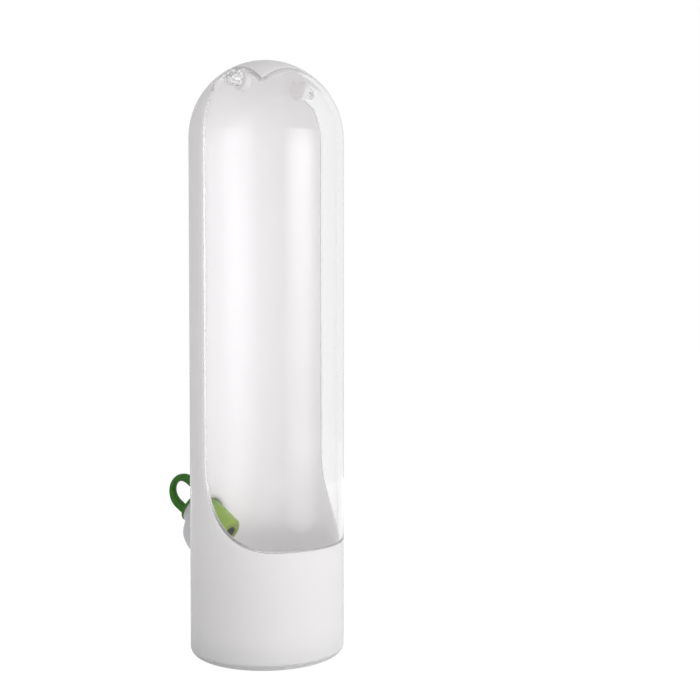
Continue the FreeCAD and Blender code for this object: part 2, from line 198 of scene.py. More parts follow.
class Build:
    """Collects the points and faces of one mesh."""

    def __init__(self):
        self.points = []
        self.faces = []

    def ring(self, points):
        """Adds points and returns their numbers."""
        first = len(self.points)
        self.points.extend(tuple(point) for point in points)
        return list(range(first, len(self.points)))

    def band(self, one, other):
        """Quads between two closed rings of equal length."""
        count = len(one)
        for index in range(count):
            following = (index + 1) % count
            self.faces.append((one[index], one[following], other[following], other[index]))

    def bands(self, rings):
        for one, other in zip(rings, rings[1:]):
            self.band(one, other)

    def cap(self, ring):
        self.faces.append(tuple(ring))

    def object(self, name):
        mesh = bpy.data.meshes.new(name)
        mesh.from_pydata(self.points, [], self.faces)
        net = bmesh.new()
        net.from_mesh(mesh)
        bmesh.ops.recalc_face_normals(net, faces=net.faces)
        net.to_mesh(mesh)
        net.free()
        item = bpy.data.objects.new(name, mesh)
        bpy.context.scene.collection.objects.link(item)
        return item


def numbers(collection, attribute, width, kind=np.float64):
    """One attribute of a mesh collection as an array with width columns."""
    values = np.empty(len(collection) * width, kind)
    collection.foreach_get(attribute, values)
    return values.reshape(-1, width) if width > 1 else values


def shade(item, skins=()):
    """Smooth normals that keep flats flat and edges crisp.

    skins lists radii of the tube and dome where the normals are exact.
    """
    mesh = item.data
    mesh.shade_smooth()
    places = numbers(mesh.vertices, "co", 3)
    face_normals = numbers(mesh.polygons, "normal", 3)
    areas = numbers(mesh.polygons, "area", 1)
    sides = numbers(mesh.polygons, "loop_total", 1, np.int32)
    corner_vertex = numbers(mesh.loops, "vertex_index", 1, np.int32)
    corner_face = np.repeat(np.arange(len(mesh.polygons)), sides)
    flat = face_normals[corner_face]
    sums = np.zeros_like(places)
    np.add.at(sums, corner_vertex, flat * areas[corner_face][:, None])
    sums /= np.maximum(np.linalg.norm(sums, axis=1), TINY)[:, None]
    smooth = sums[corner_vertex]
    near = (smooth * flat).sum(axis=1) > cos(CREASE)
    normals = np.where(near[:, None], smooth, flat)
    centres = np.zeros_like(places)
    centres[:, 2] = np.minimum(places[:, 2], DOME_Z)
    outwards = places - centres
    distances = np.linalg.norm(outwards, axis=1)
    outwards /= np.maximum(distances, TINY)[:, None]
    facing = (outwards[corner_vertex] * flat).sum(axis=1)
    for radius in skins:
        on_radius = np.abs(distances[corner_vertex] - radius) < ON_SKIN
        chosen = on_radius & (np.abs(facing) > FACES_OUT)
        normals[chosen] = outwards[corner_vertex][chosen] * np.sign(facing[chosen])[:, None]
    mesh.normals_split_custom_set(normals.tolist())
    return item


def combine(item, tools, operation):
    """Boolean of a mesh with others, applied to it; the tools are used up."""
    for tool in tools:
        cutter = item.modifiers.new("combine", "BOOLEAN")
        cutter.operation = operation
        cutter.solver = "EXACT"
        cutter.object = tool
    result = bpy.data.meshes.new_from_object(
        item.evaluated_get(bpy.context.evaluated_depsgraph_get()))
    item.modifiers.clear()
    item.data = result
    for tool in tools:
        bpy.data.objects.remove(tool)


def halving(holds, low, high):
    """Last place where holds is true, between low, where it is, and high, where it isn't."""
    for _ in range(HALVINGS):
        middle = (low + high) / 2
        low, high = (middle, high) if holds(middle) else (low, middle)
    return low


def arc_point(start, corner, end, share):
    """Point at a share of the way round a rounded corner."""
    # A rational curve with this weight is a true arc at a square corner.
    a, b, c = (1 - share)**2, 2 * sqrt(0.5) * share * (1 - share), share**2
    return (start * a + corner * b + end * c) / (a + b + c)


def soften(outline, steps=ROUND_STEPS):
    """Polygon with rounded corners: outline is a list of (x, y, size), and size 0 stays sharp."""
    corners = [Vector((x, y)) for x, y, _ in outline]
    result = []
    for index, corner in enumerate(corners):
        size = outline[index][2]
        if not size:
            result.append(corner)
            continue
        before = corners[index - 1] - corner
        after = corners[(index + 1) % len(corners)] - corner
        reach = min(size, before.length * MOST_OF_SIDE, after.length * MOST_OF_SIDE)
        start = corner + before.normalized() * reach
        end = corner + after.normalized() * reach
        result.extend(arc_point(start, corner, end, step / steps) for step in range(steps + 1))
    return result


def circle(radius, height, turns):
    angles = [2 * pi * index / turns for index in range(turns)]
    return [(radius * cos(a), radius * sin(a), height) for a in angles]


def lathe(name, outline, turns, matrix=None):
    """Closed solid turned about Z: outline is a list of (radius, height)."""
    build = Build()
    rings = []
    for radius, height in outline:
        on_axis = radius < ON_AXIS
        rings.append(build.ring([(0, 0, height)] if on_axis else circle(radius, height, turns)))
    for one, other in zip(rings, rings[1:] + rings[:1]):
        if len(one) == 1 and len(other) == 1:
            continue
        if len(one) > 1 and len(other) > 1:
            build.band(one, other)
            continue
        tip, ring = (one[0], other) if len(one) == 1 else (other[0], one)
        for index in range(turns):
            build.faces.append((ring[index], ring[(index + 1) % turns], tip))
    if matrix is not None:
        build.points = [tuple(matrix @ Vector(point)) for point in build.points]
    return build.object(name)


def hinge_pair(name, radius, start, end, rounding, turns=PIN_TURNS):
    """Two cylinders along the hinge axis, from start to end on either side of the middle."""
    matrix = Matrix.Translation(HINGE) @ Matrix.Rotation(pi / 2, 4, "Y")
    pair = []
    for side in (-1, 1):
        low, high = sorted((side * start, side * end))
        outline = soften([(0, low, 0), (radius, low, rounding),
                          (radius, high, rounding), (0, high, 0)])
        pair.append(lathe(name, outline, turns, matrix))
    return pair


# ---- The tube and dome as a skin of one radius ----

def on_skin(points, radius):
    """Points moved straight out from the axis or the dome's centre, onto a skin."""
    points = np.asarray(points, float)
    centres = np.zeros_like(points)
    centres[:, 2] = np.minimum(points[:, 2], DOME_Z)
    outwards = points - centres
    return centres + outwards * (radius / np.linalg.norm(outwards, axis=1))[:, None]


def skin_normals(points):
    """Directions straight out from the axis, or from the dome's centre above it."""
    return on_skin(points, 1.0) - on_skin(points, 0.0)


def flat_chart(points, radius):
    """The skin laid flat round the pole, in millimetres down from it and round the axis."""
    points = np.asarray(points, float)
    rise = np.clip((points[:, 2] - DOME_Z) / radius, 0.0, 1.0)
    run = radius * np.arccos(rise) + np.maximum(DOME_Z - points[:, 2], 0.0)
    turn = np.arctan2(points[:, 1], points[:, 0])
    return np.stack([run * np.cos(turn), run * np.sin(turn)], axis=1) / MM


def skin_grid(radius, low):
    """Points spread evenly over the dome and in rows down the tube, to a height."""
    rows = [(0.0, TOP - OUTER + radius)]
    dome_rows = int(radius * pi / 2 / SKIN_STEP)
    for row in range(1, dome_rows + 1):
        tilt = pi / 2 * row / dome_rows
        rows.append((radius * sin(tilt), DOME_Z + radius * cos(tilt)))
    tube_rows = int((DOME_Z - low) / TUBE_ROW)
    for row in range(1, tube_rows):
        rows.append((radius, DOME_Z - (DOME_Z - low) * row / tube_rows))
    points = []
    for distance, height in rows:
        points += circle(distance, height, max(1, round(2 * pi * distance / SKIN_STEP)))
    return np.array(points)


def inside(points, polygon):
    """Which points lie inside a closed polygon, both in the flat chart."""
    result = np.zeros(len(points), bool)
    for (ax, ay), (bx, by) in zip(polygon, np.roll(polygon, -1, axis=0)):
        spans = (ay > points[:, 1]) != (by > points[:, 1])
        crossing = ax + (points[:, 1] - ay) * (bx - ax) / (by - ay if by != ay else TINY)
        result ^= spans & (points[:, 0] < crossing)
    return result


def fill_skin(build, radius, border, holes, low):
    """Triangles over the skin inside the border ring and outside the hole rings."""
    places = np.array(build.points)
    rings = [border] + holes
    charts = [flat_chart(places[ring], radius) for ring in rings]

    def wanted(points):
        keep = inside(points, charts[0])
        for chart in charts[1:]:
            keep &= ~inside(points, chart)
        return keep

    grid = skin_grid(radius, low)
    grid = grid[wanted(flat_chart(grid, radius))]
    nearest = np.full(len(grid), np.inf)
    for point in np.concatenate([places[ring] for ring in rings]):
        nearest = np.minimum(nearest, ((grid - point)**2).sum(axis=1))
    grid = grid[nearest > EDGE_CLEAR**2]
    flat_points = np.concatenate(charts + [flat_chart(grid, radius)])
    owners = [number for ring in rings for number in ring] + build.ring(grid)
    edges = []
    first = 0
    for ring in rings:
        edges += [(first + index, first + (index + 1) % len(ring)) for index in range(len(ring))]
        first += len(ring)
    found = delaunay_2d_cdt([Vector(point) for point in flat_points], edges, [], 0, SAME_SPOT,
                              True)
    spots = np.array([tuple(spot) for spot in found[0]])
    triangles = np.array(found[2])
    triangles = triangles[wanted(spots[triangles].mean(axis=1))]
    sources = [origin[0] for origin in found[3]]
    build.faces.extend(tuple(owners[sources[corner]] for corner in face) for face in triangles)


# ---- The split line between body and door ----

# Points on each segment of the split line, from the front of the rim to the tongue's front, and
# the segments that start at a rounded corner, which takes TRIM from each side.
SPLIT_COUNTS = {"rim": 26, "corner": 34, "line": 60, "ear": 14, "flank": 16, "front": 14}
ROUNDED_STARTS = ("ear", "flank", "front")
TRIM = 1.3 * MM
TRIM_STEPS = 6


def side_view(radius, y, z):
    """Right-hand points of a skin over places of the side view."""
    rise = np.maximum(z - DOME_Z, 0.0)
    x = np.sqrt(np.maximum(radius**2 - y**2 - rise**2, 0.0))
    return np.stack([x, y, z], axis=1)


def trimmed(points, start, end, count):
    """count points, evenly spaced along a line, leaving a length out at its start and end."""
    along = np.concatenate([[0.0], np.cumsum(np.linalg.norm(np.diff(points, axis=0), axis=1))])
    wanted = np.linspace(start, along[-1] - end, count)
    return np.stack([np.interp(wanted, along, points[:, axis]) for axis in range(3)], axis=1)


def tongue_front(radius, x, reach):
    """Places on a skin that lie at the tongue's reach from the hinge axis, at each x."""
    ring = np.sqrt(radius**2 - x**2)
    offset = Vector((HINGE.y, HINGE.z - DOME_Z))
    away = offset.length
    along = (away**2 + ring**2 - reach**2) / (2 * away)
    aside = np.sqrt(ring**2 - along**2)
    unit = offset / away
    return (along * unit.x - aside * unit.y, DOME_Z + along * unit.y + aside * unit.x)


def split_line(radius, inset, ear, side, reach):
    """Segments of the split line's right half on a skin, from the rim's front to the tongue's."""
    fine = np.linspace(0.0, 1.0, CURVE_STEPS)
    turn = fine * acos(CORNER_DEPTH / radius)
    rim = np.stack([radius * np.sin(turn), -radius * np.cos(turn),
                    np.full_like(turn, RIM + inset)], axis=1)
    corner_z = RIM + CORNER_RISE
    turn = fine * pi / 2
    corner = side_view(radius, (CORNER_DEPTH - inset) * np.sin(turn) - CORNER_DEPTH,
                       corner_z - (CORNER_RISE - inset) * np.cos(turn))
    start = -acos((-inset - HINGE.y) / ear)
    ear_low = HINGE.z + ear * sin(start)
    line = side_view(radius, np.full_like(fine, -inset), corner_z + fine * (ear_low - corner_z))

    def beside_tongue(turn):
        y, z = HINGE.y + ear * cos(turn), HINGE.z + ear * sin(turn)
        return radius**2 - y**2 - (z - DOME_Z)**2 > side**2

    turn = start + fine * (halving(beside_tongue, start, pi / 2) - start)
    ear_arc = side_view(radius, HINGE.y + ear * np.cos(turn), HINGE.z + ear * np.sin(turn))
    ring = sqrt(radius**2 - side**2)
    end_y, end_z = tongue_front(radius, np.array([side]), reach)
    begin = atan2(-ear_arc[-1][1], ear_arc[-1][2] - DOME_Z)
    turn = begin + fine * (atan2(-end_y[0], end_z[0] - DOME_Z) - begin)
    flank = np.stack([np.full_like(turn, side), -ring * np.sin(turn),
                      DOME_Z + ring * np.cos(turn)], axis=1)
    x = side * (1 - fine)
    front = np.stack([x, *tongue_front(radius, x, reach)], axis=1)
    return {"rim": rim, "corner": corner, "line": line, "ear": ear_arc, "flank": flank,
            "front": front}


def split_loop(radius, split):
    """Closed split line on a skin, with its corners rounded; the same count for every radius."""
    segments = split_line(radius, **split)
    trims = [TRIM if name in ROUNDED_STARTS else 0.0 for name in segments] + [0.0]
    half = []
    for index, (name, segment) in enumerate(segments.items()):
        before, after = trims[index], trims[index + 1]
        piece = trimmed(segment, before, after, SPLIT_COUNTS[name])
        if index and not before:
            piece = piece[1:]
        if before:
            corner, start, end = segment[0], half[-1], piece[0]
            for step in range(1, TRIM_STEPS):
                share = step / TRIM_STEPS
                half.append(start * (1 - share)**2 + corner * 2 * share * (1 - share)
                            + end * share**2)
        half.extend(piece)
    right = np.array(half)
    left = right[-2:0:-1] * np.array([-1.0, 1.0, 1.0])
    return on_skin(np.concatenate([right, left]), radius)


def cut_wall(build, loops, radii, into):
    """Rounded cut edge of a wall along a loop on each of its skins; returns the edge's rings.

    into is 1 where the material lies left of the loops seen from outside, and -1 on their right.
    """
    across = loops[1] - loops[0]
    across /= np.linalg.norm(across, axis=1)[:, None]
    rings = []
    for loop, radius, way in zip(loops, radii, (1, -1)):
        along = np.roll(loop, -1, axis=0) - np.roll(loop, 1, axis=0)
        sideways = np.cross(skin_normals(loop), along) * into
        sideways /= np.linalg.norm(sideways, axis=1)[:, None]
        on_face = on_skin(loop + sideways * EDGE_ROUND, radius)
        on_cut = loop + across * way * EDGE_ROUND
        part = [arc_point(on_face, loop, on_cut, step / CUT_STEPS)
                for step in range(CUT_STEPS + 1)]
        rings.extend(build.ring(ring) for ring in part[::way])
    build.bands(rings)
    return rings


# ---- White body ----

def meet_skin(start, radius):
    """Where a line from start along the port's axis crosses the tube's skin, on the port's side."""
    a = PORT_AXIS.x**2 + PORT_AXIS.y**2
    b = 2 * (start.x * PORT_AXIS.x + start.y * PORT_AXIS.y)
    c = start.x**2 + start.y**2 - radius**2
    return start + PORT_AXIS * ((-b + sqrt(b * b - 4 * a * c)) / (2 * a))


def round_port(turns):
    """Directions all round the port's axis, square to it."""
    angles = [2 * pi * index / turns for index in range(turns)]
    return [PORT_SIDE * cos(angle) + PORT_UP * sin(angle) for angle in angles]


def port_loop(radius):
    """Ring where the filler hole meets a skin of the tube."""
    distance = BORE_RADIUS + HOLE_PLAY
    return np.array([meet_skin(PORT_ORIGIN + direction * distance, radius)
                     for direction in round_port(HOLE_TURNS)])


def foot_rings(build, inner):
    """Rings from the tube down the foot's fillet and in along the wall's lower edge."""
    centre = OUTER - FOOT_FILLET
    last = acos((FOOT_FILLET - FLOOR_EDGE) / FOOT_FILLET)
    rings = [build.ring(circle(OUTER, FOOT_FILLET, FOOT_TURNS))]
    for step in range(1, FOOT_STEPS + 1):
        tilt = (pi / 2 - last) * step / FOOT_STEPS
        rings.append(build.ring(circle(centre + FOOT_FILLET * cos(tilt),
                                       FOOT_FILLET - FOOT_FILLET * sin(tilt), FOOT_TURNS)))
    rings.append(build.ring(circle(inner, FLOOR_EDGE, FOOT_TURNS)))
    build.bands(rings)
    return rings


def body_moulding():
    """White tube wall, dome and water cup with the door's opening and the filler hole."""
    inner = OUTER - WALL
    radii = (OUTER, inner)
    build = Build()
    opening = cut_wall(build, [split_loop(radius, BODY_SPLIT) for radius in radii], radii, -1)
    port = cut_wall(build, [port_loop(radius) for radius in radii], radii, -1)
    foot = foot_rings(build, inner)
    fill_skin(build, OUTER, foot[0], [opening[0], port[0]], FOOT_FILLET)
    fill_skin(build, inner, foot[-1], [opening[-1], port[-1]], FLOOR_EDGE)
    item = build.object("body_moulding")
    lugs = hinge_pair("lug", LUG_RADIUS, TONGUE_HALF - LUG_WIDTH - LUG_SKIN,
                      TONGUE_HALF - OFF_FLUSH, LUG_ROUND)
    combine(item, lugs, "UNION")
    return shade(item, radii)


# ---- Clear door ----

def clear_door():
    """Clear front half with its ears, and the pins' bosses with blind bores."""
    inner = OUTER - DOOR_WALL
    radii = (OUTER, inner)
    build = Build()
    cut = cut_wall(build, [split_loop(radius, DOOR_SPLIT) for radius in radii], radii, 1)
    fill_skin(build, OUTER, cut[0], [], RIM)
    fill_skin(build, inner, cut[-1], [], RIM)
    item = build.object("clear_door")
    side = TONGUE_HALF + SIDE_GAP
    bosses = hinge_pair("boss", BOSS_RADIUS, side + OFF_FLUSH, side + BOSS_DEPTH, LUG_ROUND)
    bores = hinge_pair("bore", PIN_BORE, side - BORE_LEAD, TONGUE_HALF + BORE_DEPTH, BORE_ROUND,
                       BORE_TURNS)
    combine(item, bosses, "UNION")
    combine(item, bores, "DIFFERENCE")
    return shade(item, radii)


# ---- Filler neck with the belly under its mouth ----

def belly_reach(height, direction):
    """How far the belly stands from the port's axis, at a height along it, in one direction."""
    centre = PORT_OUT * (OUTER + BELLY_OUT - BELLY_RISE) + Vector((0, 0, PORT_HEIGHT - BELLY_DROP))
    sizes = Vector((BELLY_RISE, BELLY_HALF, BELLY_RISE))
    axes = (PORT_OUT, PORT_SIDE, Vector((0, 0, 1)))
    start = PORT_ORIGIN + PORT_AXIS * height - centre
    p = Vector([start.dot(axis) / size for axis, size in zip(axes, sizes)])
    d = Vector([direction.dot(axis) / size for axis, size in zip(axes, sizes)])
    a, b, c = d.dot(d), 2 * p.dot(d), p.dot(p) - 1
    root = b * b - 4 * a * c
    return (-b + sqrt(root)) / (2 * a) if root > 0 else 0.0


def neck_radius(height, direction):
    """Neck and belly blended into one smooth form."""
    reach = belly_reach(height, direction)
    half = (reach - COLLAR_RADIUS) / 2
    return (COLLAR_RADIUS + reach) / 2 + sqrt(half * half + (BELLY_BLEND / 2)**2) - BELLY_BLEND / 8


def neck_column(direction):
    """Points of the neck in one direction: up its outside, over the mouth and down the bore."""
    mouth_low = MOUTH_REACH - MOUTH_ROUND

    def place(height, distance):
        return PORT_ORIGIN + PORT_AXIS * height + direction * distance

    def buried(height):
        spot = place(height, neck_radius(height, direction))
        return Vector((spot.x, spot.y)).length < OUTER - WALL / 2

    low = halving(buried, -NECK_DEPTH, mouth_low)
    column = []
    for row in range(NECK_ROWS + 1):
        height = low + (mouth_low - low) * row / NECK_ROWS
        fade = max(0.0, min(1.0, (mouth_low - height) / NECK_FADE))
        fade = fade * fade * (3 - 2 * fade)
        distance = COLLAR_RADIUS + (neck_radius(height, direction) - COLLAR_RADIUS) * fade
        column.append(place(height, distance))
    mouth = soften([(COLLAR_RADIUS, mouth_low, 0), (COLLAR_RADIUS, MOUTH_REACH, MOUTH_ROUND),
                    (BORE_RADIUS, MOUTH_REACH, MOUTH_LIP),
                    (BORE_RADIUS, MOUTH_REACH - MOUTH_BORE, 0)])
    column.extend(place(spot.y, spot.x) for spot in mouth[1:])
    for distance in (BORE_RADIUS, BORE_RADIUS + FLANGE_WIDTH):
        column.append(meet_skin(PORT_ORIGIN + direction * distance, OUTER - WALL + FLANGE_SINK))
    return column


def filler_neck():
    """Neck through the wall, lofted round the port's axis from the wall to its mouth and bore."""
    build = Build()
    columns = [neck_column(direction) for direction in round_port(NECK_TURNS)]
    rings = [build.ring(level) for level in zip(*columns)]
    build.bands(rings + rings[:1])
    return shade(build.object("filler_neck"))


# ---- Green plug with its pull loop ----

def strap_section(thickness):
    """Rounded section of the loop's strap: across its thickness and along its width."""
    half, side = thickness / 2, LOOP_WIDTH / 2
    return soften([(-half, -side, STRAP_ROUND), (half, -side, STRAP_ROUND),
                   (half, side, STRAP_ROUND), (-half, side, STRAP_ROUND)], PLUG_STEPS)


def pull_loop(base):
    """Strap bent into a loop over the plug's head; base is the height of its roots."""
    top = PLUG_INSIDE + MOUTH_REACH + LOOP_REACH
    shoulder = top - LOOP_HALF
    path = []
    for step in range(LEG_STEPS + 1):
        path.append((LOOP_HALF, base + (shoulder - base) * step / LEG_STEPS, 0.0))
    for step in range(1, ARCH_STEPS):
        turn = pi * step / ARCH_STEPS
        path.append((LOOP_HALF * cos(turn), shoulder + LOOP_HALF * sin(turn), turn))
    for step in range(LEG_STEPS + 1):
        path.append((-LOOP_HALF, shoulder + (base - shoulder) * step / LEG_STEPS, pi))
    build = Build()
    rings = []
    for x, z, turn in path:
        thickness = STRAP_LEG + (STRAP_END - STRAP_LEG) * sin(turn)**2
        inwards = Vector((-cos(turn), 0, -sin(turn)))
        centre = Vector((x, 0, z)) + inwards * (thickness / 2)
        rings.append(build.ring(centre + inwards * spot.x + Vector((0, spot.y, 0))
                                for spot in strap_section(thickness)))
    build.bands(rings)
    build.cap(rings[0])
    build.cap(rings[-1])
    return build.object("loop")


def plug_and_loop():
    """Silicone plug: hollow barrel, round head and the pull loop, one moulding."""
    radius = BORE_RADIUS - PLUG_PLAY
    mouth = PLUG_INSIDE + MOUTH_REACH
    head_top = mouth + HEAD_THICKNESS
    outline = soften(
        [(0, HOLLOW_DEPTH, 0), (HOLLOW_RADIUS, HOLLOW_DEPTH, HOLLOW_ROUND),
         (HOLLOW_RADIUS, 0, HOLLOW_LIP), (radius, 0, PLUG_ROUND), (radius, mouth, 0),
         (HEAD_RADIUS, mouth, HEAD_ROUND), (HEAD_RADIUS, head_top, HEAD_ROUND),
         (0, head_top, 0)], PLUG_STEPS)
    item = lathe("plug_and_loop", outline, PLUG_TURNS)
    combine(item, [pull_loop(head_top - HEAD_THICKNESS / 2)], "UNION")
    item.data.transform(PORT_FRAME @ Matrix.Translation((0, 0, -PLUG_INSIDE)))
    return shade(item)


# ---- Floor, seen from below ----

def floor_disc():
    """Floor of the cup with its foot ring, the seam's shadow groove and its ring wall."""
    edge_low = FLOOR_EDGE - GROOVE_HEIGHT
    centre = OUTER - FOOT_FILLET
    edge_x = centre + sqrt(FOOT_FILLET**2 - (FOOT_FILLET - edge_low)**2)
    groove_x = edge_x - GROOVE_DEPTH
    foot_inner = centre - FOOT_WIDTH
    plate_top = FLOOR_RECESS + FLOOR_PLATE
    ring_outer = OUTER - WALL - RING_PLAY
    ring_inner, ring_top = ring_outer - RING_WALL, FLOOR_EDGE + RING_RISE
    fillet = []
    for step in range(FILLET_STEPS + 1):
        tilt = asin((edge_x - centre) / FOOT_FILLET) * step / FILLET_STEPS
        fillet.append((centre + FOOT_FILLET * sin(tilt), FOOT_FILLET - FOOT_FILLET * cos(tilt)))
    below = soften([(0, FLOOR_RECESS, 0), (foot_inner - FLOOR_RECESS, FLOOR_RECESS, RECESS_ROUND),
                    (foot_inner, 0, FOOT_ROUND), (*fillet[0], 0)])
    above = soften([(*fillet[-1], 0), (groove_x, edge_low, 0), (groove_x, FLOOR_EDGE, 0),
                    (ring_outer, FLOOR_EDGE, 0), (ring_outer, ring_top, RING_ROUND_OUT),
                    (ring_inner, ring_top, RING_ROUND_IN), (ring_inner, plate_top, RING_ROOT),
                    (0, plate_top, 0)])
    return shade(lathe("floor_disc", below[:-1] + fillet + above[1:], FLOOR_TURNS))


# ---- Materials ----

FULL = (1.0, 1.0, 1.0)
# Most of a noise lies between these two values.
NOISE_LOW, NOISE_HIGH = 0.3, 0.7
# White plastic: how much lighter its mottling gets, and how far its roughness strays.
MOTTLE = 1.006
UNEVEN = 0.01
# The door's cut edges are half matt. The body's cut edges get a painted shade, standing in for the
# shadow in the gap, and the plug's hollow gets a painted shade too, whose mask reaches this far
# into the silicone.
CUT_ROUGHNESS = 0.35
GAP_SHADE = (0.6, 0.6, 0.6)
HOLLOW_SHADE = (0.25, 0.25, 0.25)
HOLLOW_EDGE = 0.2 * MM


def new_material(name, **settings):
    """Material with a Principled shader; settings are its plain socket values."""
    material = bpy.data.materials.new(name)
    material.use_nodes = True
    shader = material.node_tree.nodes["Principled BSDF"]
    for socket, value in settings.items():
        shader.inputs[socket.replace("_", " ")].default_value = value
    return material, material.node_tree, shader


def link(tree, start, end):
    tree.links.new(start, end)


def own_place(tree):
    """Place in the piece's own coordinates, which ride with it."""
    return tree.nodes.new("ShaderNodeTexCoord").outputs["Object"]


def components(tree, vector):
    """A vector's X, Y and Z outputs."""
    split = tree.nodes.new("ShaderNodeSeparateXYZ")
    link(tree, vector, split.inputs[0])
    return split.outputs


def math_node(tree, operation, *inputs):
    """Math of numbers and other nodes' outputs."""
    node = tree.nodes.new("ShaderNodeMath")
    node.operation = operation
    for socket, value in zip(node.inputs, inputs):
        if isinstance(value, (int, float)):
            socket.default_value = value
        else:
            link(tree, value, socket)
    return node.outputs[0]


def vector_math(tree, operation, vector, other=None):
    """Vector math of a node's output and, where it takes two, a fixed vector."""
    node = tree.nodes.new("ShaderNodeVectorMath")
    node.operation = operation
    link(tree, vector, node.inputs[0])
    if other is not None:
        node.inputs[1].default_value = other
    return node.outputs


def noise(tree, scale, detail):
    """Solid noise, fixed to the piece."""
    texture = tree.nodes.new("ShaderNodeTexNoise")
    texture.inputs["Scale"].default_value = scale
    texture.inputs["Detail"].default_value = detail
    link(tree, own_place(tree), texture.inputs["Vector"])
    return texture.outputs["Fac"]


def ramp(tree, value, stops):
    """Colours along a value; stops is a list of (position, colour)."""
    node = tree.nodes.new("ShaderNodeValToRGB")
    while len(node.color_ramp.elements) < len(stops):
        node.color_ramp.elements.new(0.5)
    for element, (position, colour) in zip(node.color_ramp.elements, stops):
        element.position = position
        element.color = (*colour, 1.0)
    link(tree, value, node.inputs["Fac"])
    return node.outputs["Color"]


def multiplied(tree, one, other):
    """Product of two colours."""
    mix = tree.nodes.new("ShaderNodeMix")
    mix.data_type = "RGBA"
    mix.blend_type = "MULTIPLY"
    mix.inputs["Factor"].default_value = 1.0
    link(tree, one, mix.inputs["A"])
    link(tree, other, mix.inputs["B"])
    return mix.outputs["Result"]


def mapped(tree, value, start, end, low=0.0, high=1.0):
    """A value that runs from start to end, carried over to the range from low to high."""
    node = tree.nodes.new("ShaderNodeMapRange")
    ends = {"From Min": start, "From Max": end, "To Min": low, "To Max": high}
    for socket, number in ends.items():
        node.inputs[socket].default_value = number
    link(tree, value, node.inputs["Value"])
    return node.outputs["Result"]


def uneven_roughness(tree, shader, texture, low, high):
    """Roughness that follows a texture, from low to high."""
    link(tree, mapped(tree, texture, NOISE_LOW, NOISE_HIGH, low, high), shader.inputs["Roughness"])


def bump(tree, shader, height, distance, strength):
    node = tree.nodes.new("ShaderNodeBump")
    node.inputs["Distance"].default_value = distance
    node.inputs["Strength"].default_value = strength
    link(tree, height, node.inputs["Height"])
    link(tree, node.outputs["Normal"], shader.inputs["Normal"])


def cut_edge(tree, wall):
    """1 on the cut edge of a wall of the tube and dome, above the rim, and 0 on its skins."""
    place = components(tree, own_place(tree))
    above_centre = math_node(tree, "SUBTRACT", place["Z"], DOME_Z)
    outwards = tree.nodes.new("ShaderNodeCombineXYZ")
    link(tree, place["X"], outwards.inputs["X"])
    link(tree, place["Y"], outwards.inputs["Y"])
    link(tree, math_node(tree, "MAXIMUM", above_centre, 0.0), outwards.inputs["Z"])
    distance = vector_math(tree, "LENGTH", outwards.outputs[0])["Value"]
    between = math_node(tree, "COMPARE", distance, OUTER - wall / 2, (wall - EDGE_ROUND) / 2)
    above_rim = math_node(tree, "GREATER_THAN", place["Z"], RIM - MM)
    return math_node(tree, "MULTIPLY", between, above_rim)


def white_plastic(name, tint, roughness):
    """Satin moulded plastic: faint mottling, uneven gloss, the tool's fine texture, and painted
    shade on its cut edges, standing in for the shadow in the gap.
    """
    material, tree, shader = new_material(
        name, IOR=1.5, Subsurface_Weight=1.0, Subsurface_Radius=FULL,
        Subsurface_Scale=4.0 * MM)
    lighter = tuple(min(1.0, channel * MOTTLE) for channel in tint)
    colour = ramp(tree, noise(tree, scale=30, detail=2), [(0.35, tint), (0.65, lighter)])
    # Painted shade: the cut edges are darker, standing in for the shadow in the gap beside the
    # door.
    painted_gap_shade = ramp(tree, cut_edge(tree, WALL), [(0.0, FULL), (1.0, GAP_SHADE)])
    link(tree, multiplied(tree, colour, painted_gap_shade), shader.inputs["Base Color"])
    uneven_roughness(tree, shader, noise(tree, scale=60, detail=2), roughness - UNEVEN,
                     roughness + UNEVEN)
    bump(tree, shader, noise(tree, scale=1400, detail=2), distance=0.01 * MM, strength=0.15)
    return material


def clear_plastic():
    """Clear acrylic with a faint haze of handling, and half matt on its cut edges."""
    material, tree, shader = new_material(
        "clear_plastic", Transmission_Weight=1.0, IOR=1.49, Base_Color=(0.955, 0.955, 0.96, 1.0))
    haze = mapped(tree, noise(tree, scale=45, detail=5), NOISE_LOW, NOISE_HIGH, high=0.045)
    matt = math_node(tree, "MULTIPLY_ADD", cut_edge(tree, DOOR_WALL), CUT_ROUGHNESS, haze)
    link(tree, matt, shader.inputs["Roughness"])
    return material


